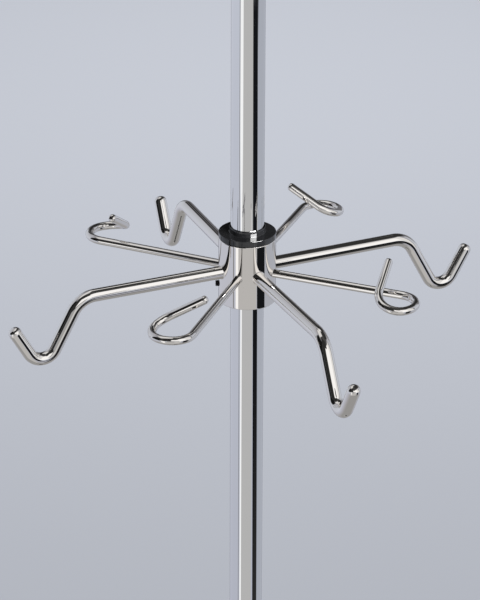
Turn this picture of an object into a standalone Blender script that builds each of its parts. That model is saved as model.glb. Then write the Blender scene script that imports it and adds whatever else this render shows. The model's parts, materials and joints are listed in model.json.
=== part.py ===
"""A free-standing coat rack: a chromed pole on a weighted round base, with a ring of eight hooks.

The ring is a short collar on a nylon bush. Four thick rods welded to it are coat hooks, and four
thin wires between them end in open loops. The ring slides along the pole and turns round it.
Metres, +Z up, with the floor at z = 0 and the pole on the Z axis. Run it in Blender 4.5.
"""

from math import cos, pi, radians, sin, tan

import bmesh
import bpy
from mathutils import Matrix, Vector

# Pole and heights.
TOTAL_HEIGHT = 1.800
RING_HEIGHT = 1.500          # the height of the hook arms' centrelines
POLE_RADIUS = 0.016
POLE_WALL = 0.0015
POLE_SPLIT = 0.900           # where the two pole sections screw together
GAP = 0.0003                 # left between faces that touch on the real object
TURN_GAP = 0.0004            # the same, round a piece that turns on its neighbour

# Base.
COVER_RADIUS = 0.200
COVER_WALL = 0.0015
COVER_BEND = 0.005
COVER_BEND_TURN = 80         # degrees, from the upright rim to the sloping top
COVER_RIM_HEIGHT = 0.012
COVER_CENTRE_HEIGHT = 0.030
COVER_FLAT_RADIUS = 0.045
WEIGHT_RADIUS = 0.192
WEIGHT_EDGE = 0.001
WEIGHT_SHOULDER = 0.002      # the weight's upper edge, cut back where the cover bends over it
WEIGHT_CROWN = 0.008         # the iron left above the bolt's recess
FOOT_CLEARANCE = 0.004       # how far the rubber ring lifts the base off the floor
FOOT_RADIUS = 0.178          # the middle of the rubber ring
FOOT_WIDTH = 0.010
FOOT_GROOVE = 0.002
BOLT_RADIUS = 0.006
BOLT_HEAD_RADIUS = 0.0105
BOLT_HEAD_HEIGHT = 0.0075
WASHER_RADIUS = 0.018
WASHER_THICKNESS = 0.0025
RECESS_RADIUS = 0.020
FLANGE_RADIUS = 0.036
FLANGE_HEIGHT = 0.016
FLANGE_EDGE = 0.002          # the upright rim at its foot, and the flat round its top
FLANGE_SWEEP = 0.013         # the radius of its hollow curve

# Plugs and the stud inside the pole, and the cap on its top.
PLUG_LENGTH = 0.030
BOLT_SHORT_OF_PLUG = 0.006
STUD_RADIUS = 0.005
STUD_LENGTH = 0.044
CAP_HEIGHT = 0.010
CAP_PLUG_LENGTH = 0.022
CAP_LIP = 0.002              # the upright edge under the cap's dome

# Collar and bushes; heights are from the arms' centrelines.
COLLAR_RADIUS = 0.0275
COLLAR_HALF_HEIGHT = 0.0325
COLLAR_EDGE = 0.0006
BUSH_RADIUS = 0.021
BUSH_FLANGE_THICKNESS = 0.0056
BUSH_NECK_RADIUS = 0.0174
BUSH_NECK_HEIGHT = 0.0054
BUSH_HALF_SPACE = 0.002      # half the space between the upper and the lower bush
BUSH_SLOT = 0.002            # the split in the lower bush, which lets the screw pinch it
SOCKET_DEPTH = 0.0035        # how deep the rods sit in the collar before they are welded

# Thick coat hooks, as a centreline in a plane through the pole's axis: out, down, and up again.
COAT_ROD_RADIUS = 0.00625
COAT_ARM_REACH = 0.1722
COAT_DIP_REACH = 0.2110
COAT_DIP_DROP = 0.0710
COAT_TIP_REACH = 0.2405
COAT_TIP_DROP = 0.0197
COAT_SHOULDER_BEND = 0.0252
COAT_DIP_BEND = 0.0147
COAT_BEARINGS = (1.6, 88.1, 180.7, 270.1)       # degrees, as welded: near a quarter turn apart

# Thin loop hooks: a level arm, a curl clockwise as seen from above, and a straight rising tail.
LOOP_WIRE_RADIUS = 0.004
LOOP_DROP = 0.0011           # how far their arms' centrelines lie below the coat hooks'
LOOP_ARM_REACH = 0.1577
LOOP_FIRST_BEND = 0.0195
LOOP_FIRST_TURN = 129.0
LOOP_LAST_BEND = 0.0168
LOOP_LAST_TURN = 137.5
LOOP_TAIL_LENGTH = 0.0363
LOOP_TAIL_RISE = 31.5
LOOP_BEARINGS = (45.9, 131.5, 227.8, 313.8)     # degrees, between the coat hooks

# The grub screw that pinches the lower bush, and the brass pad on its end.
SCREW_BEARING = 156.5
SCREW_DROP = 0.0163
SCREW_RADIUS = 0.003
SCREW_PROUD = 0.0029
SCREW_EDGE = 0.0005
SCREW_SOCKET_RADIUS = 0.00173
SCREW_SOCKET_DEPTH = 0.003
PAD_RADIUS = 0.0024
PAD_THICKNESS = 0.0008

ROUND_SIDES = 36
BASE_SIDES = 40
COAT_ROD_SIDES = 14
LOOP_WIRE_SIDES = 10
SMALL_SIDES = 16
OVERCUT = 0.010              # how far a cutter reaches past the surface that it opens


def clear_scene():
    for obj in list(bpy.data.objects):
        bpy.data.objects.remove(obj, do_unlink=True)


def make_material(name, colour, metallic, roughness):
    material = bpy.data.materials.new(name)
    material.use_nodes = True
    shader = material.node_tree.nodes["Principled BSDF"]
    shader.inputs["Base Color"].default_value = (*colour, 1.0)
    shader.inputs["Metallic"].default_value = metallic
    shader.inputs["Roughness"].default_value = roughness
    return material


def make_mesh(name, bm):
    bmesh.ops.recalc_face_normals(bm, faces=bm.faces)
    mesh = bpy.data.meshes.new(name)
    bm.to_mesh(mesh)
    bm.free()
    mesh.shade_smooth()
    mesh.set_sharp_from_angle(angle=radians(35))
    return mesh


def make_object(name, mesh, material, parent=None):
    obj = bpy.data.objects.new(name, mesh)
    bpy.context.scene.collection.objects.link(obj)
    if material and not mesh.materials:
        mesh.materials.append(material)
    obj.parent = parent
    return obj


def make_axis(name, location, parent=None):
    axis = bpy.data.objects.new(name, None)
    bpy.context.scene.collection.objects.link(axis)
    axis.location = location
    axis.parent = parent
    return axis


def arc(radius_from_axis, height, bend, start, end, steps):
    """Points of a profile's rounded stretch; start and end are in degrees, 0 pointing outwards."""
    angles = [radians(start + (end - start) * i / steps) for i in range(steps + 1)]
    return [(radius_from_axis + bend * cos(a), height + bend * sin(a)) for a in angles]


def turned(name, profile, sides):
    """A mesh turned round Z from a closed profile of (radius, height) points."""
    bm = bmesh.new()
    rings = []
    for radius, height in profile:
        if radius == 0:
            rings.append([bm.verts.new((0, 0, height))] * sides)
            continue
        angles = [2 * pi * i / sides for i in range(sides)]
        rings.append([bm.verts.new((radius * cos(a), radius * sin(a), height)) for a in angles])
    for here, after in zip(rings, rings[1:] + rings[:1]):
        for i in range(sides):
            j = (i + 1) % sides
            corners = list(dict.fromkeys((here[i], here[j], after[j], after[i])))
            if len(corners) > 2:
                bm.faces.new(corners)
    return make_mesh(name, bm)


def tube_profile(inner, outer, low, high):
    return [(inner, low), (outer, low), (outer, high), (inner, high)]


def solid_profile(radius, low, high):
    return [(0, low), (radius, low), (radius, high), (0, high)]


def rounded_path(corners, bends, steps):
    """The points along straight runs between corners, each corner rounded to its bend radius."""
    points = [corners[0]]
    for before, corner, after, bend in zip(corners, corners[1:], corners[2:], bends):
        back = (before - corner).normalized()
        ahead = (after - corner).normalized()
        half = back.angle(ahead) / 2
        centre = corner + (back + ahead).normalized() * bend / sin(half)
        first = (corner + back * bend / tan(half) - centre).normalized()
        last = (corner + ahead * bend / tan(half) - centre).normalized()
        points += [centre + first.slerp(last, i / steps) * bend for i in range(steps + 1)]
    return points + [corners[-1]]


def rod(name, path, radius, sides):
    """A round rod along a path, flat at its start and domed at its end."""
    bm = bmesh.new()
    path = [Vector(p) for p in path]
    runs = [(b - a).normalized() for a, b in zip(path, path[1:])]
    ways = [runs[0]] + [(a + b).normalized() for a, b in zip(runs, runs[1:])] + [runs[-1]]
    side = ways[0].orthogonal().normalized()
    dome = [(1.0, 0.0), (0.92, 0.5), (0.66, 0.85)]
    stations = [(point, way, radius) for point, way in zip(path[:-1], ways)]
    last = path[-1] - ways[-1] * radius
    stations += [(last + ways[-1] * radius * z, ways[-1], radius * r) for r, z in dome]
    rings = []
    for point, way, size in stations:
        side = (side - way * side.dot(way)).normalized()
        up = way.cross(side)
        angles = [2 * pi * i / sides for i in range(sides)]
        rings.append([bm.verts.new(point + (side * cos(a) + up * sin(a)) * size) for a in angles])
    for here, after in zip(rings, rings[1:]):
        for i in range(sides):
            j = (i + 1) % sides
            bm.faces.new((here[i], here[j], after[j], after[i]))
    bm.faces.new(rings[0])
    tip = bm.verts.new(path[-1])
    for i in range(sides):
        bm.faces.new((rings[-1][i], rings[-1][(i + 1) % sides], tip))
    return make_mesh(name, bm)


def prism(name, radius, low, high, sides):
    """A solid prism on Z, such as a hexagon or a cutter's round bar."""
    bm = bmesh.new()
    placed = Matrix.Translation((0, 0, (low + high) / 2))
    bmesh.ops.create_cone(bm, cap_ends=True, segments=sides, radius1=radius, radius2=radius,
                          depth=high - low, matrix=placed)
    return make_mesh(name, bm)


def cut(obj, cutter):
    """Subtracts a cutter that stays in the file as a guide."""
    cutter.hide_render = True
    cutter.display_type = "WIRE"
    modifier = obj.modifiers.new(cutter.name, "BOOLEAN")
    modifier.operation = "DIFFERENCE"
    modifier.solver = "EXACT"
    modifier.object = cutter


def radial_cutter(name, parent, bearing, height, radius, start, end, sides):
    """A round bar that points away from the Z axis at a bearing."""
    cutter = make_object(name, prism(name, radius, start, end, sides), None, parent)
    cutter.location = (0, 0, height)
    cutter.rotation_euler = (0, pi / 2, radians(bearing))
    return cutter


def coat_hook_path():
    corners = [
        (COLLAR_RADIUS - SOCKET_DEPTH + GAP, 0),
        (COAT_ARM_REACH, 0),
        (COAT_DIP_REACH, -COAT_DIP_DROP),
        (COAT_TIP_REACH, -COAT_TIP_DROP),
    ]
    corners = [Vector((reach, 0, height)) for reach, height in corners]
    return rounded_path(corners, (COAT_SHOULDER_BEND, COAT_DIP_BEND), 7)


def loop_hook_path():
    """The curl's first part stays level; its last part climbs more and more, up to the tail's rise."""
    points = [Vector((COLLAR_RADIUS - SOCKET_DEPTH + GAP, 0, 0)), Vector((LOOP_ARM_REACH, 0, 0))]
    heading = 0.0
    rise = radians(LOOP_TAIL_RISE)
    for bend, turn, steps, climbs in (
        (LOOP_FIRST_BEND, LOOP_FIRST_TURN, 12, False),
        (LOOP_LAST_BEND, LOOP_LAST_TURN, 13, True),
    ):
        turn_step = radians(turn) / steps
        run = 2 * bend * sin(turn_step / 2)
        for i in range(steps):
            middle = heading - turn_step / 2
            slope = tan(rise * (i + 0.5) / steps) if climbs else 0.0
            points.append(points[-1] + Vector((cos(middle), sin(middle), slope)) * run)
            heading -= turn_step
    tail = Vector((cos(heading) * cos(rise), sin(heading) * cos(rise), sin(rise)))
    return points + [points[-1] + tail * LOOP_TAIL_LENGTH]


def build_base(chrome, iron, rubber, steel):
    """The rubber ring, the cast weight, the spun cover over it, and the bolt up into the pole."""
    lift = FOOT_CLEARANCE
    half_foot = FOOT_WIDTH / 2
    foot = tube_profile(FOOT_RADIUS - half_foot, FOOT_RADIUS + half_foot, 0,
                        lift + FOOT_GROOVE - GAP)
    make_object("foot_ring", turned("foot_ring", foot, BASE_SIDES), rubber)

    inner_top = COVER_CENTRE_HEIGHT - COVER_WALL - 2 * GAP
    seat = inner_top - WEIGHT_CROWN
    hole = BOLT_RADIUS + GAP
    groove = half_foot + GAP
    shoulder_top = COVER_RIM_HEIGHT - WEIGHT_SHOULDER
    shoulder_foot = shoulder_top - COVER_WALL
    weight = [
        (hole, seat), (RECESS_RADIUS, seat), (RECESS_RADIUS, lift),
        (FOOT_RADIUS - groove, lift), (FOOT_RADIUS - groove, lift + FOOT_GROOVE),
        (FOOT_RADIUS + groove, lift + FOOT_GROOVE), (FOOT_RADIUS + groove, lift),
        (WEIGHT_RADIUS - WEIGHT_EDGE, lift), (WEIGHT_RADIUS, lift + WEIGHT_EDGE),
        (WEIGHT_RADIUS, shoulder_foot), (WEIGHT_RADIUS - WEIGHT_SHOULDER, shoulder_top),
        (COVER_FLAT_RADIUS, inner_top), (hole, inner_top),
    ]
    make_object("base_weight", turned("base_weight", weight, BASE_SIDES), iron)

    bend = COVER_BEND
    outer = arc(COVER_RADIUS - bend, COVER_RIM_HEIGHT - bend, bend, 0, COVER_BEND_TURN, 4)
    inner = arc(COVER_RADIUS - bend, COVER_RIM_HEIGHT - bend, bend - COVER_WALL, COVER_BEND_TURN, 0, 4)
    top = COVER_CENTRE_HEIGHT
    cover = [(COVER_RADIUS, lift)] + outer + [(COVER_FLAT_RADIUS, top), (hole, top)]
    cover += [(hole, top - COVER_WALL), (COVER_FLAT_RADIUS, top - COVER_WALL)]
    cover += inner + [(COVER_RADIUS - COVER_WALL, lift)]
    make_object("base_cover", turned("base_cover", cover, BASE_SIDES), chrome)

    washer_top = seat - GAP
    washer = tube_profile(hole, WASHER_RADIUS, washer_top - WASHER_THICKNESS, washer_top)
    make_object("base_washer", turned("base_washer", washer, ROUND_SIDES), steel)

    head_top = washer_top - WASHER_THICKNESS - GAP
    build_bolt(head_top, steel)


def build_bolt(head_top, steel):
    """A hexagon-headed bolt in one mesh: every other point of the head is a corner of the hexagon."""
    bm = bmesh.new()
    sides = 12
    tip = COVER_CENTRE_HEIGHT + PLUG_LENGTH - BOLT_SHORT_OF_PLUG
    flat = BOLT_HEAD_RADIUS * cos(pi / 6)
    head = [BOLT_HEAD_RADIUS if i % 2 == 0 else flat for i in range(sides)]
    shank = [BOLT_RADIUS] * sides
    rings = []
    levels = (
        (head, head_top - BOLT_HEAD_HEIGHT),
        (head, head_top),
        (shank, head_top),
        (shank, tip),
    )
    for radii, height in levels:
        angles = [2 * pi * i / sides for i in range(sides)]
        rings.append([bm.verts.new((r * cos(a), r * sin(a), height)) for r, a in zip(radii, angles)])
    for here, after in zip(rings, rings[1:]):
        for i in range(sides):
            j = (i + 1) % sides
            bm.faces.new((here[i], here[j], after[j], after[i]))
    bm.faces.new(rings[0])
    bm.faces.new(rings[-1])
    make_object("base_bolt", make_mesh("base_bolt", bm), steel)


def build_pole(chrome, steel):
    """Two tubes, the plugs welded in their ends, the stud that joins them, and the trim at each end."""
    foot = COVER_CENTRE_HEIGHT + GAP
    top = TOTAL_HEIGHT - CAP_HEIGHT
    bore = POLE_RADIUS - POLE_WALL
    sections = {"lower_pole": (foot, POLE_SPLIT - GAP / 2), "upper_pole": (POLE_SPLIT + GAP / 2, top - GAP)}
    for name, (low, high) in sections.items():
        tube = tube_profile(bore, POLE_RADIUS, low, high)
        make_object(name, turned(name, tube, ROUND_SIDES), chrome)

    plug = bore - GAP
    plugs = {
        "foot_plug": (foot, foot + PLUG_LENGTH, BOLT_RADIUS),
        "lower_joint_plug": (POLE_SPLIT - GAP / 2 - PLUG_LENGTH, POLE_SPLIT - GAP / 2, STUD_RADIUS),
        "upper_joint_plug": (POLE_SPLIT + GAP / 2, POLE_SPLIT + GAP / 2 + PLUG_LENGTH, STUD_RADIUS),
    }
    for name, (low, high, thread) in plugs.items():
        ring = tube_profile(thread + GAP, plug, low, high)
        make_object(name, turned(name, ring, ROUND_SIDES), steel)
    stud = solid_profile(STUD_RADIUS, POLE_SPLIT - STUD_LENGTH / 2, POLE_SPLIT + STUD_LENGTH / 2)
    make_object("joint_stud", turned("joint_stud", stud, 18), steel)

    flange_bore = POLE_RADIUS + GAP
    crown = flange_bore + FLANGE_EDGE
    flange_top = foot + FLANGE_HEIGHT
    flange = [(flange_bore, foot), (FLANGE_RADIUS, foot), (FLANGE_RADIUS, foot + FLANGE_EDGE)]
    flange += arc(FLANGE_RADIUS, flange_top, FLANGE_SWEEP, 260, 182, 5)
    flange += [(crown, flange_top), (flange_bore, flange_top)]
    make_object("pole_flange", turned("pole_flange", flange, ROUND_SIDES), chrome)


def build_top_cap(chrome):
    rim = TOTAL_HEIGHT - CAP_HEIGHT
    plug = POLE_RADIUS - POLE_WALL - GAP
    rise = CAP_HEIGHT - CAP_LIP
    angles = [radians(step * 22) for step in range(4)]
    dome = [(POLE_RADIUS * cos(a), rim + CAP_LIP + rise * sin(a)) for a in angles]
    cap = [(0, rim - CAP_PLUG_LENGTH), (plug, rim - CAP_PLUG_LENGTH), (plug, rim), (POLE_RADIUS, rim)]
    cap += dome + [(0, TOTAL_HEIGHT)]
    make_object("top_cap", turned("top_cap", cap, ROUND_SIDES), chrome)


def build_bushes(nylon, axis):
    """Both bushes slide on the pole; the upper one carries the collar's weight on the pole's axis."""
    bore = POLE_RADIUS + TURN_GAP
    seat = COLLAR_HALF_HEIGHT + GAP
    flange_top = seat + BUSH_FLANGE_THICKNESS
    neck_top = flange_top + BUSH_NECK_HEIGHT
    edge = COLLAR_EDGE
    upper = [
        (bore, BUSH_HALF_SPACE), (BUSH_RADIUS, BUSH_HALF_SPACE), (BUSH_RADIUS, seat),
        (COLLAR_RADIUS, seat), (COLLAR_RADIUS, flange_top - edge), (COLLAR_RADIUS - edge, flange_top),
        (BUSH_NECK_RADIUS, flange_top), (BUSH_NECK_RADIUS, neck_top), (bore, neck_top),
    ]
    make_object("upper_bush", turned("upper_bush", upper, ROUND_SIDES), nylon, axis)
    lower = tube_profile(bore, BUSH_RADIUS, -COLLAR_HALF_HEIGHT + GAP, -BUSH_HALF_SPACE)
    bush = make_object("lower_bush", turned("lower_bush", lower, ROUND_SIDES), nylon, axis)
    bm = bmesh.new()
    bmesh.ops.create_cube(bm, size=1)
    slot_size = (BUSH_RADIUS, BUSH_SLOT, 2 * COLLAR_HALF_HEIGHT)
    bmesh.ops.scale(bm, vec=slot_size, verts=bm.verts)
    bmesh.ops.translate(bm, vec=(BUSH_RADIUS * 0.9, 0, -COLLAR_HALF_HEIGHT), verts=bm.verts)
    slot = make_object("bush_slot_cutter", make_mesh("bush_slot_cutter", bm), None, axis)
    slot.rotation_euler.z = radians(SCREW_BEARING + 180)
    cut(bush, slot)


def build_ring(chrome, axis):
    """The collar with a socket for each rod, and the rods welded into it."""
    edge = COLLAR_EDGE
    half = COLLAR_HALF_HEIGHT
    bore = BUSH_RADIUS + TURN_GAP
    collar = [
        (bore, -half), (COLLAR_RADIUS - edge, -half), (COLLAR_RADIUS, -half + edge),
        (COLLAR_RADIUS, half - edge), (COLLAR_RADIUS - edge, half), (bore, half),
    ]
    hub = make_object("hub_collar", turned("hub_collar", collar, ROUND_SIDES), chrome, axis)
    screw_hole = radial_cutter("screw_hole_cutter", axis, SCREW_BEARING, -SCREW_DROP,
                               SCREW_RADIUS + GAP, BUSH_RADIUS - OVERCUT, COLLAR_RADIUS + OVERCUT,
                               SMALL_SIDES)
    cut(hub, screw_hole)
    families = (
        ("coat_hook", COAT_BEARINGS, coat_hook_path(), 0.0, COAT_ROD_RADIUS, COAT_ROD_SIDES),
        ("loop_hook", LOOP_BEARINGS, loop_hook_path(), LOOP_DROP, LOOP_WIRE_RADIUS, LOOP_WIRE_SIDES),
    )
    for family, bearings, path, drop, radius, sides in families:
        mesh = rod(family, path, radius, sides)
        for number, bearing in enumerate(bearings, 1):
            hook = make_object(f"{family}_{number}", mesh, chrome, axis)
            hook.location.z = -drop
            hook.rotation_euler.z = radians(bearing)
            socket = radial_cutter(f"{family}_{number}_socket_cutter", axis, bearing, -drop, radius + GAP,
                                   COLLAR_RADIUS - SOCKET_DEPTH, COLLAR_RADIUS + OVERCUT, 20)
            cut(hub, socket)


def build_clamp(black, brass, ring_axis):
    """The grub screw and its pad, turned along Z and laid along the screw's own axis."""
    axis = make_axis("clamp_axis", (0, 0, -SCREW_DROP), ring_axis)
    axis.rotation_euler = (0, pi / 2, radians(SCREW_BEARING))
    pad_start = BUSH_RADIUS + GAP
    pad = solid_profile(PAD_RADIUS, pad_start, pad_start + PAD_THICKNESS)
    make_object("clamp_pad", turned("clamp_pad", pad, SMALL_SIDES), brass, axis)
    start = pad_start + PAD_THICKNESS + GAP
    end = COLLAR_RADIUS + SCREW_PROUD
    edge = SCREW_EDGE
    profile = [(0, start), (SCREW_RADIUS - edge, start), (SCREW_RADIUS, start + edge),
               (SCREW_RADIUS, end - edge), (SCREW_RADIUS - edge, end), (0, end)]
    screw = make_object("clamp_screw", turned("clamp_screw", profile, SMALL_SIDES), black, axis)
    key = prism("hex_key_cutter", SCREW_SOCKET_RADIUS, end - SCREW_SOCKET_DEPTH, end + OVERCUT, 6)
    cut(screw, make_object("hex_key_cutter", key, None, axis))


def main():
    clear_scene()
    chrome = make_material("chrome", (0.79, 0.78, 0.76), 1.0, 0.07)
    steel = make_material("zinc_steel", (0.60, 0.61, 0.62), 1.0, 0.35)
    iron = make_material("cast_iron", (0.035, 0.036, 0.038), 0.3, 0.65)
    rubber = make_material("rubber", (0.018, 0.018, 0.019), 0.0, 0.80)
    nylon = make_material("black_nylon", (0.012, 0.012, 0.013), 0.0, 0.35)
    black = make_material("black_oxide", (0.020, 0.020, 0.022), 0.8, 0.40)
    brass = make_material("brass", (0.62, 0.47, 0.22), 1.0, 0.30)

    build_base(chrome, iron, rubber, steel)
    build_pole(chrome, steel)
    build_top_cap(chrome)
    slide_axis = make_axis("ring_slide_axis", (0, 0, RING_HEIGHT))
    build_bushes(nylon, slide_axis)
    ring_axis = make_axis("ring_turn_axis", (0, 0, 0), slide_axis)
    build_ring(chrome, ring_axis)
    build_clamp(black, brass, ring_axis)


main()
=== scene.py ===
"""The looks of a free-standing coat rack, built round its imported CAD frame.

Each CAD node is replaced by a finer piece of the same size: turned parts with rounded edges, rods
with a small weld fillet and a domed end, and real screw threads. Metres, +Z up, floor at z = 0.
"""

import json
from math import atan2, cos, hypot, pi, radians, sin, sqrt, tan

import bmesh
import bpy
from mathutils import Matrix, Vector


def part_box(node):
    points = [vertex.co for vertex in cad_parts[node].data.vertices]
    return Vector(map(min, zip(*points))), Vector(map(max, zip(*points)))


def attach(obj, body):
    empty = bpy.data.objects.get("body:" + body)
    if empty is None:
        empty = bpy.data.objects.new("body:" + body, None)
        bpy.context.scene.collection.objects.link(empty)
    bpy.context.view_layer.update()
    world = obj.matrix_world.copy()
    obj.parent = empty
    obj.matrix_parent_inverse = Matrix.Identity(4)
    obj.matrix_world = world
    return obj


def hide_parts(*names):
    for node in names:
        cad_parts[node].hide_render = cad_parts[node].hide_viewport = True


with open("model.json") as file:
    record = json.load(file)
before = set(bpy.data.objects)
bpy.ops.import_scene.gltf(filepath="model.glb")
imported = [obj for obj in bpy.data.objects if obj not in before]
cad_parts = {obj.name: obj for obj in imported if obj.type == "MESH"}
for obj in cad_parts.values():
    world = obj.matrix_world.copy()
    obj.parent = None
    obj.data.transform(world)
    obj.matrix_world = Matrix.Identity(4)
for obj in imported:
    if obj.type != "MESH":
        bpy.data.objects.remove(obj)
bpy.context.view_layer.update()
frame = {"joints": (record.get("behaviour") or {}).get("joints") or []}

# Sizes that the frame's boxes don't give, as the CAD has them.
POLE_WALL = 0.0015
GAP = 0.0003
TURN_GAP = 0.0004
COVER_WALL = 0.0015
COVER_RIM_HEIGHT = 0.012
COVER_FLAT_RADIUS = 0.045
COVER_BEND = 0.005
COVER_INNER_BEND = 0.012     # where the cover's slope meets its flat middle
RECESS_MARGIN = 0.002        # the room round the washer in the casting's recess
CASTING_EDGE = 0.0012
CASTING_SHOULDER_WIDTH = 0.002
CASTING_SHOULDER_LOW = 0.0035
CASTING_SHOULDER_HIGH = 0.002
FOOT_WIDTH = 0.010
FOOT_GROOVE = 0.002
FOOT_LIP = 0.0018
BOLT_RADIUS = 0.006
BOLT_THREAD = (0.00095, 0.00175)     # depth and pitch
STUD_THREAD = (0.0008, 0.0015)
SCREW_THREAD = (0.0006, 0.001)
BOLT_HEAD_HEIGHT = 0.0075
BUSH_RADIUS = 0.021
BUSH_FLANGE_THICKNESS = 0.0056
BUSH_NECK_RADIUS = 0.0174
BUSH_DRAFT = 0.0001
BUSH_SLOT = 0.002
FLANGE_FOOT_RIM = 0.003      # how much lower the flange's hollow curve is than the whole flange
CAP_LIP = 0.002
COLLAR_EDGE = 0.0008
COAT_WELD = 0.0007
LOOP_WELD = 0.0005
SOCKET_DEPTH = 0.0035
SCREW_BEARING = 156.5
SCREW_DROP = 0.0163
SCREW_RADIUS = 0.003
SCREW_SOCKET_RADIUS = 0.00173
SCREW_SOCKET_DEPTH = 0.003
SCREW_STAND_OUT = 0.0029
PAD_RADIUS = 0.0024
PAD_THICKNESS = 0.0008

# The coat hooks' centreline, in a plane through the pole's axis, and the loop hooks' curl.
COAT_ROD_RADIUS = 0.00625
COAT_CORNERS = ((0.1722, 0.0), (0.2110, -0.0710), (0.2405, -0.0197))
COAT_BENDS = (0.0252, 0.0147)
COAT_BEARINGS = (1.6, 88.1, 180.7, 270.1)
LOOP_WIRE_RADIUS = 0.004
LOOP_DROP = 0.0011
LOOP_ARM_REACH = 0.1577
LOOP_FIRST_BEND = 0.0195
LOOP_FIRST_TURN = 129.0
LOOP_LAST_BEND = 0.0168
LOOP_LAST_TURN = 137.5
LOOP_TAIL_LENGTH = 0.0363
LOOP_TAIL_RISE = 31.5
LOOP_BEARINGS = (45.9, 131.5, 227.8, 313.8)

# Fineness of the visual meshes.
POLE_SIDES = 128
COLLAR_SIDES = 192
BASE_SIDES = 256
SMALL_SIDES = 64
COAT_ROD_SIDES = 48
LOOP_WIRE_SIDES = 32
BRACE = 0.0006               # a loop this far from a rounded edge keeps the long faces' shading true
SHARP = radians(35)

# The camera: where it stands round the rack, seen from the middle of the ring.
CAMERA_BEARING = 23.72
CAMERA_TILT = 24.54
CAMERA_DISTANCE = 3.1003
CAMERA_ASIDE = -0.00677
CAMERA_BELOW = 0.03109
CAMERA_ROLL = 0.204
CAMERA_LENS = 194.16

# The studio. Colours are linear. Each panel is an azimuth, an elevation, a width, a height, a
# softness, a slant in degrees of azimuth for each degree of elevation, and a colour.
FLOOR_RADIUS = 80.0
FLOOR_COLOUR = (0.503, 0.526, 0.584)
AMBIENT = 0.71
LAMP_WATTS = 49.0
LAMP_SIZE = 2.2
LAMP_ASIDE = 0.1
LAMP_BEHIND = 4.4
LAMP_HEIGHT = 3.2
GLINT_AZIMUTH = 40.0
GLINT_ELEVATION = 24.5
GLINT_SIZE = 0.50
GLINT_WATTS = 75.0
GLINT_DISTANCE = 0.8


def grey(level):
    return (level, level, level)


SURROUND = (
    (-89, grey(0.36)), (-58, grey(0.36)), (-45, (0.44, 0.44, 0.47)), (-30, (0.55, 0.57, 0.66)),
    (-19, (0.65, 0.68, 0.77)), (5, (0.62, 0.66, 0.73)), (25, (0.55, 0.57, 0.63)), (50, (0.46, 0.46, 0.50)),
)
PANELS = (
    (0, -37, 76, 46, 3, 0, (0.57, 0.565, 0.56)),            # the room in front, below the ring
    (112, -26, 84, 30, 4, 0, (0.48, 0.505, 0.57)),          # the right-hand wall, low
    (-52, -46, 34, 20, 4, 0, grey(0.72)),                   # a lit sheet on the floor to the left
    (0, 90, 400, 76, 8, 0, grey(0.07)),                     # the ceiling
    (-127, 72, 105, 34, 5, 0, grey(0.82)),                  # a lit part of it at the back left
    (-13, 42, 87, 66, 4, 0, grey(0.030)),                   # the dark room behind the camera
    (-43, 6, 27, 16, 1.5, 0, grey(0.022)),                  # and its lower part, above the strip light
    (-76, 20, 42, 60, 3, 0.1, grey(0.010)),                 # black card on the left
    (-5, -3, 40, 24, 4, 0, grey(0.42)),                     # the table's front
    (22, -4, 26, 22, 3, 0, grey(0.70)),                     # and its lit right half
    (-42, -11, 21, 23, 1, 0, grey(1.10)),                   # strip light on the left
    (-41.5, -31, 11, 22, 1, 0, grey(1.15)),                 # its lower end
    (-56.5, -25, 4, 30, 1, 0, grey(0.22)),                  # the card's edge beside it
    (46, 26.5, 30, 55, 2, 0, grey(1.18)),                   # soft box on the right
    (27, 30, 66, 30, 3, 0, grey(1.16)),                     # its wing
    (76, 22, 30, 60, 2, 0, grey(0.88)),                     # white card beside it
    (94, 20, 5, 50, 2, 0, grey(0.08)),                      # the seam at that card's edge
    (152, 31, 40, 62, 6, 0, (0.20, 0.20, 0.215)),           # back right, in shade
    (140, 54, 76, 40, 4, -1.0, grey(0.035)),                # black ceiling above it
    (58.2, -25, 35, 13, 1, -1.4, (0.009, 0.010, 0.012)),    # black card on the right, low
    (60, -12, 26, 15, 1, 0, (0.009, 0.010, 0.012)),         # its upper part
    (67, -40, 30, 24, 3, 0, grey(0.030)),                   # its foot
    (180, 15, 34, 50, 6, 0, (0.16, 0.16, 0.175)),           # straight behind, above the horizon
    (168, 34, 38, 34, 4, 0, grey(0.030)),                   # a dark doorway there
    (180, 57, 36, 12, 3, 0, grey(1.0)),                     # the lit wall above it
    (-160, 29, 16, 15, 3, 0, grey(0.045)),                  # a small dark card at the back left
    (180, -24, 44, 24, 5, 0, (0.25, 0.26, 0.30)),           # straight behind, below the horizon
)

RING_CENTRE = Vector(next(j for j in frame["joints"] if j["name"] == "ring_turn")["pos_m"])
POLE_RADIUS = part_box("upper_pole")[1].x
COLLAR_LOW, COLLAR_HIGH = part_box("hub_collar")
COLLAR_RADIUS = COLLAR_HIGH.x


# ---------------------------------------------------------------- meshes

def finish_mesh(name, bm):
    bmesh.ops.recalc_face_normals(bm, faces=bm.faces)
    mesh = bpy.data.meshes.new(name)
    bm.to_mesh(mesh)
    bm.free()
    mesh.shade_smooth()
    mesh.set_sharp_from_angle(angle=SHARP)
    return mesh


def add_piece(name, mesh, material, body, slot, *nodes):
    """Puts a piece in the scene on its CAD body, in place of the nodes it stands for."""
    piece = bpy.data.objects.new(name, mesh)
    bpy.context.scene.collection.objects.link(piece)
    mesh.materials.clear()
    mesh.materials.append(material)
    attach(piece, body)
    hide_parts(*nodes)
    return piece


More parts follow.
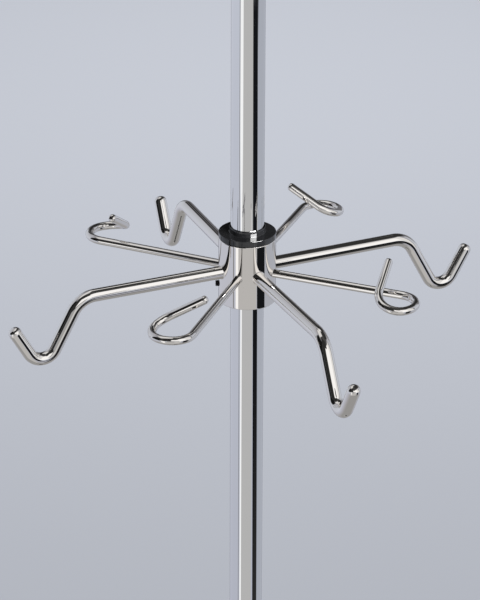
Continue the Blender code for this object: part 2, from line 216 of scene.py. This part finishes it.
def rounded(corners, bends, steps=6):
    """A closed profile of (radius, height) corners, each rounded to its bend; 0 leaves it sharp."""
    points = []
    count = len(corners)
    for i, (corner, bend) in enumerate(zip(corners, bends)):
        here = Vector(corner)
        if bend == 0:
            points.append(tuple(here))
            continue
        back = (Vector(corners[i - 1]) - here).normalized()
        ahead = (Vector(corners[(i + 1) % count]) - here).normalized()
        half = back.angle(ahead) / 2
        centre = here + (back + ahead).normalized() * bend / sin(half)
        first = here + back * bend / tan(half) - centre
        last = here + ahead * bend / tan(half) - centre
        start = atan2(first.y, first.x)
        sweep = (atan2(last.y, last.x) - start + pi) % (2 * pi) - pi
        angles = [start + sweep * k / steps for k in range(steps + 1)]
        points += [(centre.x + bend * cos(a), centre.y + bend * sin(a)) for a in angles]
    return points


def braced(profile):
    """Adds a point just inside both ends of each long straight run of a closed profile."""
    points = []
    for (r0, z0), (r1, z1) in zip(profile, profile[1:] + profile[:1]):
        length = hypot(r1 - r0, z1 - z0)
        points.append((r0, z0))
        if length > 4 * BRACE and max(r0, r1) > 0:
            for share in (BRACE / length, 1 - BRACE / length):
                points.append((r0 + (r1 - r0) * share, z0 + (z1 - z0) * share))
    return points


def turned(name, profile, sides):
    """A mesh turned round Z from a closed profile of (radius, height) points."""
    bm = bmesh.new()
    angles = [2 * pi * i / sides for i in range(sides)]
    rings = []
    for radius, height in braced(profile):
        if radius < 1e-9:
            rings.append([bm.verts.new((0, 0, height))] * sides)
            continue
        rings.append([bm.verts.new((radius * cos(a), radius * sin(a), height)) for a in angles])
    for here, after in zip(rings, rings[1:] + rings[:1]):
        for i in range(sides):
            j = (i + 1) % sides
            corners = list(dict.fromkeys((here[i], here[j], after[j], after[i])))
            if len(corners) > 2:
                bm.faces.new(corners)
    return finish_mesh(name, bm)


def tube(name, inner, outer, low, high, edge, sides):
    """A plain tube with its four edges eased."""
    corners = [(inner, low), (outer, low), (outer, high), (inner, high)]
    return turned(name, rounded(corners, [edge] * 4, 4), sides)


def threaded(name, radius, depth, pitch, low, high, sides):
    """A bar on Z with a helical thread, chamfered down to the thread's root at both ends."""
    rings_per_turn = 10
    count = round((high - low) / pitch * rings_per_turn)
    bm = bmesh.new()
    rings = []
    for k in range(count + 1):
        height = low + (high - low) * k / count
        chamfer = radius - depth + min(height - low, high - height)
        ring = []
        for i in range(sides):
            phase = ((height - low) / pitch - i / sides) % 1
            crest = min(1.0, 1.6 * abs(2 * phase - 1))
            size = min(radius - depth * (1 - crest), chamfer)
            angle = 2 * pi * i / sides
            ring.append(bm.verts.new((size * cos(angle), size * sin(angle), height)))
        rings.append(ring)
    for here, after in zip(rings, rings[1:]):
        for i in range(sides):
            j = (i + 1) % sides
            bm.faces.new((here[i], here[j], after[j], after[i]))
    bm.faces.new(rings[0])
    bm.faces.new(rings[-1])
    return finish_mesh(name, bm)


def prism(name, radius, low, high, sides):
    """A solid prism on Z."""
    bm = bmesh.new()
    placed = Matrix.Translation((0, 0, (low + high) / 2))
    bmesh.ops.create_cone(bm, cap_ends=True, segments=sides, radius1=radius, radius2=radius,
                          depth=high - low, matrix=placed)
    return finish_mesh(name, bm)


def carved(mesh, cutter, operation="DIFFERENCE"):
    """The mesh with the cutter's solid taken away, or joined on."""
    blank = bpy.data.objects.new("blank", mesh)
    tool = bpy.data.objects.new("tool", cutter)
    for obj in (blank, tool):
        bpy.context.scene.collection.objects.link(obj)
    modifier = blank.modifiers.new("carve", "BOOLEAN")
    modifier.operation = operation
    modifier.solver = "EXACT"
    modifier.object = tool
    graph = bpy.context.evaluated_depsgraph_get()
    result = bpy.data.meshes.new_from_object(blank.evaluated_get(graph))
    for obj in (blank, tool):
        bpy.data.objects.remove(obj, do_unlink=True)
    result.set_sharp_from_angle(angle=SHARP)
    return result


def rounded_path(corners, bends, steps):
    """The points along straight runs between corners, each corner rounded to its bend radius."""
    points = [corners[0]]
    for before, corner, after, bend in zip(corners, corners[1:], corners[2:], bends):
        back = (before - corner).normalized()
        ahead = (after - corner).normalized()
        half = back.angle(ahead) / 2
        centre = corner + (back + ahead).normalized() * bend / sin(half)
        first = (corner + back * bend / tan(half) - centre).normalized()
        last = (corner + ahead * bend / tan(half) - centre).normalized()
        points += [centre + first.slerp(last, i / steps) * bend for i in range(steps + 1)]
    return points + [corners[-1]]


def braced_path(path):
    """Adds a point just inside both ends of each long straight run of an open path."""
    points = []
    for here, after in zip(path, path[1:]):
        run = after - here
        points.append(here)
        if run.length > 8 * BRACE:
            step = run.normalized() * BRACE
            points += [here + step, after - step]
    return points + [path[-1]]


def coat_hook_path():
    start = Vector((COLLAR_RADIUS, 0, 0))
    corners = [start] + [Vector((reach, 0, height)) for reach, height in COAT_CORNERS]
    return rounded_path(corners, COAT_BENDS, 28)


def loop_hook_path():
    """A level arm, a clockwise curl whose last part climbs more and more, and a straight tail."""
    points = [Vector((COLLAR_RADIUS, 0, 0)), Vector((LOOP_ARM_REACH, 0, 0))]
    heading = 0.0
    rise = radians(LOOP_TAIL_RISE)
    for bend, turn, steps, climbs in (
        (LOOP_FIRST_BEND, LOOP_FIRST_TURN, 48, False),
        (LOOP_LAST_BEND, LOOP_LAST_TURN, 52, True),
    ):
        turn_step = radians(turn) / steps
        run = 2 * bend * sin(turn_step / 2)
        for i in range(steps):
            middle = heading - turn_step / 2
            slope = tan(rise * (i + 0.5) / steps) if climbs else 0.0
            points.append(points[-1] + Vector((cos(middle), sin(middle), slope)) * run)
            heading -= turn_step
    tail = Vector((cos(heading) * cos(rise), sin(heading) * cos(rise), sin(rise)))
    return points + [points[-1] + tail * LOOP_TAIL_LENGTH]


def rod(name, path, radius, fillet, sides):
    """A round rod that grows out of the collar with a weld fillet and ends in a flattened dome.

    The path starts on the collar's surface and leaves it along +X.
    """
    bm = bmesh.new()
    path = braced_path(path)
    angles = [2 * pi * i / sides for i in range(sides)]
    rings = []

    def root_ring(size, lift):
        """A ring that hugs the round collar, lifted off its surface."""
        ring = []
        for a in angles:
            across = size * cos(a)
            reach = sqrt(COLLAR_RADIUS ** 2 - across ** 2) + lift
            ring.append(bm.verts.new((reach, across, size * sin(a))))
        rings.append(ring)

    root_ring(radius, -SOCKET_DEPTH)
    root_ring(radius + fillet, -GAP)
    fillet_steps = 6
    for k in range(fillet_steps + 1):
        t = pi / 2 * k / fillet_steps
        root_ring(radius + fillet * (1 - sin(t)), fillet * (1 - cos(t)))

    runs = [(b - a).normalized() for a, b in zip(path, path[1:])]
    ways = [runs[0]] + [(a + b).normalized() for a, b in zip(runs, runs[1:])] + [runs[-1]]
    stations = [(point, way, radius) for point, way in zip(path[2:-2], ways[2:-2])]
    flattening = 2.5
    dome_steps = 10
    for k in range(dome_steps):
        along = sin(pi / 2 * k / dome_steps)
        size = (1 - along ** flattening) ** (1 / flattening)
        stations.append((path[-1] + ways[-1] * radius * (along - 1), ways[-1], radius * size))
    side = Vector((0, 1, 0))
    for point, way, size in stations:
        side = (side - way * side.dot(way)).normalized()
        up = way.cross(side)
        rings.append([bm.verts.new(point + (side * cos(a) + up * sin(a)) * size) for a in angles])
    for here, after in zip(rings, rings[1:]):
        for i in range(sides):
            j = (i + 1) % sides
            bm.faces.new((here[i], here[j], after[j], after[i]))
    bm.faces.new(rings[0])
    tip = bm.verts.new(path[-1])
    for i in range(sides):
        bm.faces.new((rings[-1][i], rings[-1][(i + 1) % sides], tip))
    return finish_mesh(name, bm)


# ---------------------------------------------------------------- materials

def add_node(tree, kind, sockets=None, **settings):
    """A shader node; a socket's value is a constant, or another node's output to link."""
    node = tree.nodes.new("ShaderNode" + kind)
    for name, value in settings.items():
        setattr(node, name, value)
    for socket, value in (sockets or {}).items():
        if isinstance(value, bpy.types.NodeSocket):
            tree.links.new(value, node.inputs[socket])
        else:
            node.inputs[socket].default_value = value
    return node


def maths(tree, operation, *values):
    return add_node(tree, "Math", dict(enumerate(values)), operation=operation).outputs[0]


def noise(tree, place, scale, detail=3.0, stretch=(1, 1, 1)):
    """Noise of a given scale per metre, from 0 to 1."""
    mapped = add_node(tree, "Mapping", {"Vector": place, "Scale": stretch}).outputs[0]
    sockets = {"Vector": mapped, "Scale": scale, "Detail": detail}
    return add_node(tree, "TexNoise", sockets).outputs["Fac"]


def spread(tree, value, low, high, start=0.3, end=0.7):
    """Maps a noise's usual range to low..high."""
    sockets = {"Value": value, "From Min": start, "From Max": end, "To Min": low, "To Max": high}
    return add_node(tree, "MapRange", sockets).outputs[0]


def blend_colour(tree, share, first, second):
    mix = add_node(tree, "Mix", {"Factor": share}, data_type="RGBA")
    mix.inputs[6].default_value = (*first, 1)
    mix.inputs[7].default_value = (*second, 1)
    return mix.outputs[2]


def new_material(name, metallic):
    material = bpy.data.materials.new(name)
    material.use_nodes = True
    tree = material.node_tree
    shader = tree.nodes["Principled BSDF"]
    shader.inputs["Metallic"].default_value = metallic
    place = add_node(tree, "TexCoord").outputs["Object"]
    return material, tree, shader, place


def set_bump(tree, shader, layers):
    """Stacks bumps; each layer is a height and its depth in metres."""
    normal = None
    for height, depth in layers:
        sockets = {"Height": height, "Distance": depth, "Strength": 1.0}
        if normal is not None:
            sockets["Normal"] = normal
        normal = add_node(tree, "Bump", sockets).outputs[0]
    tree.links.new(normal, shader.inputs["Normal"])


def make_chrome(name, first, second, stretch):
    """Bright plating: a faint drift of tint, hazier patches, and hairlines along the stretch."""
    material, tree, shader, place = new_material(name, 1.0)
    haze = spread(tree, noise(tree, place, 70.0, 4.0), 0.0, 1.0, 0.45, 0.75)
    hairlines = noise(tree, place, 900.0, 2.0, stretch)
    colour = blend_colour(tree, noise(tree, place, 22.0), first, second)
    roughness = spread(tree, haze, 0.012, 0.05, 0.0, 1.0)
    tree.links.new(colour, shader.inputs["Base Color"])
    tree.links.new(roughness, shader.inputs["Roughness"])
    set_bump(tree, shader, [(hairlines, 0.0000004), (noise(tree, place, 160.0, 1.0), 0.000003)])
    return material


def make_zinc():
    material, tree, shader, place = new_material("zinc_plate", 1.0)
    cells = add_node(tree, "TexVoronoi", {"Vector": place, "Scale": 500.0})
    grey = spread(tree, cells.outputs["Distance"], 0.0, 1.0, 0.0, 0.8)
    colour = blend_colour(tree, grey, (0.63, 0.64, 0.65), (0.52, 0.53, 0.55))
    roughness = spread(tree, noise(tree, place, 220.0), 0.28, 0.42)
    tree.links.new(colour, shader.inputs["Base Color"])
    tree.links.new(roughness, shader.inputs["Roughness"])
    set_bump(tree, shader, [(noise(tree, place, 1500.0), 0.00001)])
    return material


def make_iron():
    """A sand casting under thin black paint."""
    material, tree, shader, place = new_material("painted_iron", 0.3)
    sand = noise(tree, place, 900.0, 5.0)
    swells = noise(tree, place, 90.0, 2.0)
    colour = blend_colour(tree, spread(tree, sand, 0.0, 1.0), (0.030, 0.031, 0.033),
                          (0.048, 0.048, 0.049))
    roughness = spread(tree, swells, 0.52, 0.72)
    tree.links.new(colour, shader.inputs["Base Color"])
    tree.links.new(roughness, shader.inputs["Roughness"])
    set_bump(tree, shader, [(sand, 0.00025), (swells, 0.0006)])
    return material


def make_rubber():
    material, tree, shader, place = new_material("foot_rubber", 0.0)
    dust = spread(tree, noise(tree, place, 140.0, 5.0), 0.0, 1.0, 0.5, 0.8)
    colour = blend_colour(tree, dust, (0.016, 0.016, 0.017), (0.040, 0.039, 0.038))
    roughness = spread(tree, dust, 0.62, 0.85, 0.0, 1.0)
    tree.links.new(colour, shader.inputs["Base Color"])
    tree.links.new(roughness, shader.inputs["Roughness"])
    set_bump(tree, shader, [(noise(tree, place, 1800.0), 0.00004)])
    return material


def make_nylon():
    """A glossy moulding with a trace of flow lines."""
    material, tree, shader, place = new_material("glossy_nylon", 0.0)
    flow = noise(tree, place, 160.0, 3.0, (1, 1, 3))
    colour = blend_colour(tree, flow, (0.002, 0.0021, 0.0023), (0.004, 0.004, 0.0044))
    roughness = spread(tree, flow, 0.04, 0.09)
    tree.links.new(colour, shader.inputs["Base Color"])
    tree.links.new(roughness, shader.inputs["Roughness"])
    set_bump(tree, shader, [(noise(tree, place, 1200.0, 2.0), 0.000004), (flow, 0.00002)])
    return material


def make_oxide():
    material, tree, shader, place = new_material("oxide_black", 0.8)
    bloom = noise(tree, place, 900.0, 4.0)
    colour = blend_colour(tree, bloom, (0.016, 0.016, 0.018), (0.034, 0.032, 0.031))
    tree.links.new(colour, shader.inputs["Base Color"])
    tree.links.new(spread(tree, bloom, 0.30, 0.48), shader.inputs["Roughness"])
    set_bump(tree, shader, [(noise(tree, place, 3000.0), 0.000008)])
    return material


def make_brass():
    material, tree, shader, place = new_material("turned_brass", 1.0)
    tarnish = noise(tree, place, 700.0, 4.0)
    colour = blend_colour(tree, tarnish, (0.66, 0.50, 0.24), (0.52, 0.38, 0.17))
    tree.links.new(colour, shader.inputs["Base Color"])
    tree.links.new(spread(tree, tarnish, 0.24, 0.38), shader.inputs["Roughness"])
    set_bump(tree, shader, [(noise(tree, place, 2600.0), 0.000006)])
    return material


# ---------------------------------------------------------------- pieces

def build_base(chrome, iron, rubber, steel):
    cover_low, cover_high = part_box("base_cover")
    weight_low, weight_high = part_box("base_weight")
    foot_low, foot_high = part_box("foot_ring")
    washer_low, washer_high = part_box("base_washer")
    top = cover_high.z
    hole = BOLT_RADIUS + GAP
    wall = COVER_WALL
    rim = cover_high.x

    slope = (top - COVER_RIM_HEIGHT) / (rim - COVER_FLAT_RADIUS)
    shoulder = (rim, COVER_RIM_HEIGHT + slope * COVER_BEND * 0.2)
    inner_shoulder = (rim - wall, shoulder[1] - wall)
    corners = [(rim, cover_low.z), shoulder, (COVER_FLAT_RADIUS, top), (hole, top), (hole, top - wall),
               (COVER_FLAT_RADIUS, top - wall), inner_shoulder, (rim - wall, cover_low.z)]
    lip = wall * 0.45
    bends = [lip, COVER_BEND, COVER_INNER_BEND, 0.0002,
             0.0002, COVER_INNER_BEND, COVER_BEND - wall, lip]
    mesh = turned("base_shell", rounded(corners, bends, 12), BASE_SIDES)
    add_piece("base_shell", mesh, chrome, "stand", "chrome", "base_cover")

    edge = CASTING_EDGE
    seat = washer_high.z + GAP
    recess = washer_high.x + RECESS_MARGIN
    middle = foot_high.x - FOOT_WIDTH / 2
    groove = FOOT_WIDTH / 2 + GAP
    low = weight_low.z
    side = weight_high.x
    corners = [
        (hole, seat), (recess, seat), (recess, low), (middle - groove, low),
        (middle - groove, low + FOOT_GROOVE), (middle + groove, low + FOOT_GROOVE),
        (middle + groove, low), (side, low), (side, COVER_RIM_HEIGHT - CASTING_SHOULDER_LOW),
        (side - CASTING_SHOULDER_WIDTH, COVER_RIM_HEIGHT - CASTING_SHOULDER_HIGH),
        (COVER_FLAT_RADIUS, weight_high.z),
        (hole, weight_high.z),
    ]
    bends = [0.0003, edge, edge, 0.0005, 0.0003, 0.0003, 0.0005, edge, 0.0006, 0.0006, 0.004, 0.0003]
    mesh = turned("base_casting", rounded(corners, bends, 5), BASE_SIDES)
    add_piece("base_casting", mesh, iron, "stand", "cast_iron", "base_weight")

    inner, outer = middle - FOOT_WIDTH / 2, middle + FOOT_WIDTH / 2
    corners = [(inner, foot_low.z), (outer, foot_low.z), (outer, foot_high.z), (inner, foot_high.z)]
    bends = [FOOT_LIP, FOOT_LIP, 0.0003, 0.0003]
    mesh = turned("ring_rubber", rounded(corners, bends, 6), BASE_SIDES)
    add_piece("ring_rubber", mesh, rubber, "stand", "rubber", "foot_ring")

    mesh = tube("washer_plain", hole, washer_high.x, washer_low.z, washer_high.z, 0.0004, SMALL_SIDES)
    add_piece("washer_plain", mesh, steel, "stand", "zinc_steel", "base_washer")
    build_bolt(steel)


def build_bolt(steel):
    """A hexagon head with its corners turned off, on a threaded shank."""
    low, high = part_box("base_bolt")
    head_top = low.z + BOLT_HEAD_HEIGHT
    shank = threaded("shank", BOLT_RADIUS, *BOLT_THREAD, head_top - 0.001, high.z, 48)
    head = prism("head", high.x, low.z, head_top, 6)
    turning = rounded([(0, low.z), (high.x * 0.9, low.z), (high.x * 1.02, low.z + 0.0012),
                       (high.x * 1.02, head_top + 0.001), (0, head_top + 0.001)], [0] * 5)
    head = carved(head, turned("turning", turning, SMALL_SIDES), "INTERSECT")
    mesh = carved(head, shank, "UNION")
    add_piece("bolt_hexagon", mesh, steel, "stand", "zinc_steel", "base_bolt")


def build_pole(chrome, steel):
    bore = POLE_RADIUS - POLE_WALL
    for name, node in (("tube_lower", "lower_pole"), ("tube_upper", "upper_pole")):
        low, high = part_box(node)
        mesh = tube(name, bore, POLE_RADIUS, low.z, high.z, 0.0004, POLE_SIDES)
        add_piece(name, mesh, chrome, "stand", "chrome", node)

    for name, node, thread in (
        ("plug_foot", "foot_plug", BOLT_RADIUS),
        ("plug_below_joint", "lower_joint_plug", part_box("joint_stud")[1].x),
        ("plug_above_joint", "upper_joint_plug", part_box("joint_stud")[1].x),
    ):
        low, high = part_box(node)
        mesh = tube(name, thread + GAP, high.x, low.z, high.z, 0.0005, SMALL_SIDES)
        add_piece(name, mesh, steel, "stand", "zinc_steel", node)
    low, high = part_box("joint_stud")
    mesh = threaded("stud_threaded", high.x, *STUD_THREAD, low.z, high.z, 40)
    add_piece("stud_threaded", mesh, steel, "stand", "zinc_steel", "joint_stud")

    low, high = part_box("pole_flange")
    flange_bore = POLE_RADIUS + GAP
    height = high.z - low.z
    sweep = height - FLANGE_FOOT_RIM
    steps = 16
    profile = [(flange_bore, low.z), (high.x - 0.0004, low.z), (high.x, low.z + 0.0004)]
    profile += [(high.x + sweep * cos(a), high.z + sweep * sin(a))
                for a in (radians(262 - 81 * i / steps) for i in range(steps + 1))]
    profile += rounded([(high.x - sweep, high.z), (flange_bore, high.z), (flange_bore, low.z)],
                       [0.0004, 0.0004, 0])[:-1]
    mesh = turned("flange_trim", profile, POLE_SIDES)
    add_piece("flange_trim", mesh, chrome, "stand", "chrome", "pole_flange")


def build_top_cap(chrome):
    """A pressed-in cap: a plug, a shallow groove under the rim, and a low dome."""
    low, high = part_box("top_cap")
    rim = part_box("upper_pole")[1].z + GAP
    plug = POLE_RADIUS - POLE_WALL - GAP
    steps = 18
    profile = [(0, low.z), (plug - 0.001, low.z), (plug, low.z + 0.001), (plug, rim)]
    profile += [(POLE_RADIUS - 0.0003, rim), (POLE_RADIUS, rim + 0.0003)]
    for i in range(steps + 1):
        a = radians(90 * i / steps)
        profile.append((POLE_RADIUS * cos(a), rim + CAP_LIP + (high.z - rim - CAP_LIP) * sin(a)))
    mesh = turned("cap_dome", profile[:-1] + [(0, high.z)], POLE_SIDES)
    add_piece("cap_dome", mesh, chrome, "stand", "chrome", "top_cap")


def build_bushes(nylon):
    bore = POLE_RADIUS + TURN_GAP
    low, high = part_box("upper_bush")
    seat = COLLAR_HIGH.z + GAP
    flange = seat + BUSH_FLANGE_THICKNESS
    draft = BUSH_DRAFT
    corners = [
        (bore, low.z), (BUSH_RADIUS, low.z), (BUSH_RADIUS, seat), (COLLAR_RADIUS, seat),
        (COLLAR_RADIUS, flange), (BUSH_NECK_RADIUS + draft, flange), (BUSH_NECK_RADIUS - draft, high.z),
        (bore, high.z),
    ]
    bends = [0.0002, 0.0006, 0.0002, 0.0003, 0.0004, 0.0003, 0.0002, 0.0002]
    mesh = turned("bush_flanged", rounded(corners, bends), COLLAR_SIDES)
    flanged = add_piece("bush_flanged", mesh, nylon, "bushes", "black_nylon", "upper_bush")

    low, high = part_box("lower_bush")
    mesh = tube("bush_split", bore, BUSH_RADIUS, low.z, high.z, 0.0004, POLE_SIDES)
    slot = prism("slot", 1.0, low.z - GAP, high.z + GAP, 4)
    slot.transform(Matrix.Rotation(pi / 4, 4, "Z"))
    slot.transform(Matrix.Diagonal((0.005, BUSH_SLOT / sqrt(2), 1, 1)))
    slot.transform(Matrix.Translation((BUSH_RADIUS * 0.9, 0, 0)))
    slot.transform(Matrix.Rotation(radians(SCREW_BEARING + 180), 4, "Z"))
    add_piece("bush_split", carved(mesh, slot), nylon, "bushes", "black_nylon", "lower_bush")
    return flanged


def screw_place():
    """Lays a piece made on Z along the clamp screw's axis."""
    middle = Matrix.Translation(RING_CENTRE - Vector((0, 0, SCREW_DROP)))
    return middle @ Matrix.Rotation(radians(SCREW_BEARING), 4, "Z") @ Matrix.Rotation(pi / 2, 4, "Y")


def build_ring(chrome):
    edge = COLLAR_EDGE
    corners = [
        (BUSH_RADIUS + TURN_GAP, COLLAR_LOW.z), (COLLAR_RADIUS, COLLAR_LOW.z),
        (COLLAR_RADIUS, COLLAR_HIGH.z), (BUSH_RADIUS + TURN_GAP, COLLAR_HIGH.z),
    ]
    mesh = turned("collar_sleeve", rounded(corners, [0.0004, edge, edge, 0.0004]), COLLAR_SIDES)
    hole = prism("hole", SCREW_RADIUS + GAP, BUSH_RADIUS * 0.8, COLLAR_RADIUS + 0.01, 48)
    hole.transform(screw_place())
    add_piece("collar_sleeve", carved(mesh, hole), chrome, "hook_ring", "chrome", "hub_collar")

    coat_hooks = ("coat_rod", "coat_hook", COAT_BEARINGS, coat_hook_path(), 0.0,
                  COAT_ROD_RADIUS, COAT_WELD, COAT_ROD_SIDES)
    loop_hooks = ("loop_wire", "loop_hook", LOOP_BEARINGS, loop_hook_path(), LOOP_DROP,
                  LOOP_WIRE_RADIUS, LOOP_WELD, LOOP_WIRE_SIDES)
    for piece, node, bearings, path, drop, radius, fillet, sides in (coat_hooks, loop_hooks):
        for number, bearing in enumerate(bearings, 1):
            mesh = rod(f"{piece}_{number}", path, radius, fillet, sides)
            turn = Matrix.Rotation(radians(bearing), 4, "Z")
            mesh.transform(Matrix.Translation(RING_CENTRE - Vector((0, 0, drop))) @ turn)
            add_piece(f"{piece}_{number}", mesh, chrome, "hook_ring", "chrome", f"{node}_{number}")


def build_clamp(black, brass):
    place = screw_place()
    pad_start = BUSH_RADIUS + GAP
    pad_end = pad_start + PAD_THICKNESS
    corners = [(0, pad_start), (PAD_RADIUS, pad_start), (PAD_RADIUS, pad_end), (0, pad_end)]
    mesh = turned("pad_brass", rounded(corners, [0, 0.0002, 0.0002, 0]), SMALL_SIDES)
    mesh.transform(place)
    add_piece("pad_brass", mesh, brass, "clamp_screw", "brass", "clamp_pad")

    end = COLLAR_RADIUS + SCREW_STAND_OUT
    mesh = threaded("grub_screw", SCREW_RADIUS, *SCREW_THREAD, pad_end + GAP, end, 48)
    key = prism("key", SCREW_SOCKET_RADIUS, end - SCREW_SOCKET_DEPTH, end + 0.002, 6)
    mesh = carved(mesh, key)
    mesh.transform(place)
    add_piece("grub_screw", mesh, black, "clamp_screw", "black_oxide", "clamp_screw")


# ---------------------------------------------------------------- studio

def camera_axes():
    """The camera's right, and the level direction that it looks in."""
    bearing = radians(CAMERA_BEARING)
    return Vector((cos(bearing), -sin(bearing), 0)), Vector((sin(bearing), cos(bearing), 0))


def build_camera():
    tilt = radians(CAMERA_TILT)
    right, level = camera_axes()
    forward = level * cos(tilt) - Vector((0, 0, sin(tilt)))
    up = right.cross(forward)
    data = bpy.data.cameras.new("camera")
    data.lens = CAMERA_LENS
    data.clip_end = 200.0
    camera = bpy.data.objects.new("camera", data)
    bpy.context.scene.collection.objects.link(camera)
    turn = Matrix((right, up, -forward)).transposed().to_4x4()
    place = RING_CENTRE - forward * CAMERA_DISTANCE + right * CAMERA_ASIDE - up * CAMERA_BELOW
    camera.matrix_world = Matrix.Translation(place) @ turn @ Matrix.Rotation(radians(CAMERA_ROLL), 4, "Z")
    bpy.context.scene.camera = camera


def build_floor():
    """A wide sheet of pale lavender-grey paper; the plating mirrors the studio in its place."""
    bm = bmesh.new()
    bmesh.ops.create_circle(bm, cap_ends=True, segments=96, radius=FLOOR_RADIUS)
    mesh = bpy.data.meshes.new("floor")
    bm.to_mesh(mesh)
    bm.free()
    floor = bpy.data.objects.new("floor", mesh)
    bpy.context.scene.collection.objects.link(floor)
    material, _, shader, _ = new_material("floor_paper", 0.0)
    shader.inputs["Base Color"].default_value = (*FLOOR_COLOUR, 1)
    shader.inputs["Roughness"].default_value = 1.0
    shader.inputs["Specular IOR Level"].default_value = 0.0
    mesh.materials.append(material)
    floor.visible_glossy = False


def build_lamp():
    """One large overhead lamp behind the rack, which the plating doesn't mirror."""
    right, level = camera_axes()
    data = bpy.data.lights.new("overhead", "AREA")
    data.shape = "DISK"
    data.size = LAMP_SIZE
    data.energy = LAMP_WATTS
    lamp = bpy.data.objects.new("overhead", data)
    bpy.context.scene.collection.objects.link(lamp)
    lamp.location = right * LAMP_ASIDE + level * LAMP_BEHIND + Vector((0, 0, LAMP_HEIGHT))
    lamp.visible_camera = False
    lamp.visible_glossy = False


def build_glint(bush):
    """A bright soft box, front right, that only the black bush mirrors."""
    right, level = camera_axes()
    bearing, height = radians(GLINT_AZIMUTH), radians(GLINT_ELEVATION)
    way = (right * sin(bearing) - level * cos(bearing)) * cos(height) + Vector((0, 0, sin(height)))
    data = bpy.data.lights.new("glint", "AREA")
    data.size = GLINT_SIZE
    data.energy = GLINT_WATTS
    lamp = bpy.data.objects.new("glint", data)
    bpy.context.scene.collection.objects.link(lamp)
    turn = way.to_track_quat("Z", "Y").to_matrix().to_4x4()
    lamp.matrix_world = Matrix.Translation(RING_CENTRE + way * GLINT_DISTANCE) @ turn
    lamp.visible_camera = False
    seen_by = bpy.data.collections.new("glint_receivers")
    seen_by.objects.link(bush)
    lamp.light_linking.receiver_collection = seen_by


def soft_step(tree, value, half, softness):
    """1 where a distance from a middle is under a half width, fading to 0 over the softness."""
    sockets = {"Value": value, "From Min": half + softness, "From Max": half - softness}
    return add_node(tree, "MapRange", sockets, interpolation_type="SMOOTHSTEP").outputs[0]


def build_world():
    """A studio seen only in reflections: soft boxes and black cards laid out by direction.

    Azimuths are seen from the rack, 0 towards the camera and 90 to its right.
    """
    world = bpy.data.worlds.new("studio")
    bpy.context.scene.world = world
    world.use_nodes = True
    tree = world.node_tree
    back = tree.nodes["Background"]
    way = add_node(tree, "TexCoord").outputs["Generated"]
    sockets = {"Vector": way, "Rotation": (0, 0, radians(CAMERA_BEARING))}
    turned_way = add_node(tree, "Mapping", sockets, vector_type="VECTOR").outputs[0]
    parts = add_node(tree, "SeparateXYZ", {0: turned_way}).outputs
    towards = maths(tree, "MULTIPLY", parts["Y"], -1.0)
    azimuth = maths(tree, "DEGREES", maths(tree, "ARCTAN2", parts["X"], towards))
    elevation = maths(tree, "DEGREES", maths(tree, "ARCSINE", parts["Z"]))

    share = maths(tree, "MULTIPLY_ADD", elevation, 1 / 180, 0.5)
    ramp_node = add_node(tree, "ValToRGB", {"Fac": share})
    ramp = ramp_node.color_ramp
    for height, colour in SURROUND:
        place = (height + 90) / 180
        stop = ramp.elements.new(place)
        stop.color = (*colour, 1)
    ramp.elements.remove(ramp.elements[0])
    ramp.elements.remove(ramp.elements[len(ramp.elements) - 1])
    colour = ramp_node.outputs["Color"]
    for middle, height, width, tall, softness, slant, shade in PANELS:
        lean = maths(tree, "MULTIPLY_ADD", elevation, -slant, slant * height - middle)
        aside = maths(tree, "WRAP", maths(tree, "ADD", azimuth, lean), 180.0, -180.0)
        across = soft_step(tree, maths(tree, "ABSOLUTE", aside), width / 2, softness)
        rise = maths(tree, "ABSOLUTE", maths(tree, "SUBTRACT", elevation, height))
        mask = maths(tree, "MULTIPLY", across, soft_step(tree, rise, tall / 2, softness))
        mix = add_node(tree, "Mix", {"Factor": mask, 6: colour, 7: (*shade, 1)}, data_type="RGBA")
        colour = mix.outputs[2]

    rays = add_node(tree, "LightPath").outputs
    horizon = [AMBIENT * c for c in FLOOR_COLOUR]
    plain = blend_colour(tree, rays["Is Camera Ray"], [AMBIENT] * 3, horizon)
    seen = add_node(tree, "Mix", {"Factor": rays["Is Glossy Ray"], 6: plain, 7: colour}, data_type="RGBA")
    tree.links.new(seen.outputs[2], back.inputs["Color"])
    bpy.context.scene.view_settings.view_transform = "Standard"


def main():
    pole_chrome = make_chrome("chrome_drawn", (0.785, 0.785, 0.785), (0.770, 0.774, 0.778), (1, 1, 0.02))
    rod_chrome = make_chrome("chrome_plate", (0.815, 0.786, 0.757), (0.790, 0.768, 0.742), (1, 1, 1))
    steel = make_zinc()
    build_base(rod_chrome, make_iron(), make_rubber(), steel)
    build_pole(pole_chrome, steel)
    build_top_cap(rod_chrome)
    flanged_bush = build_bushes(make_nylon())
    build_ring(rod_chrome)
    build_clamp(make_oxide(), make_brass())
    build_camera()
    build_floor()
    build_lamp()
    build_glint(flanged_bush)
    build_world()


main()
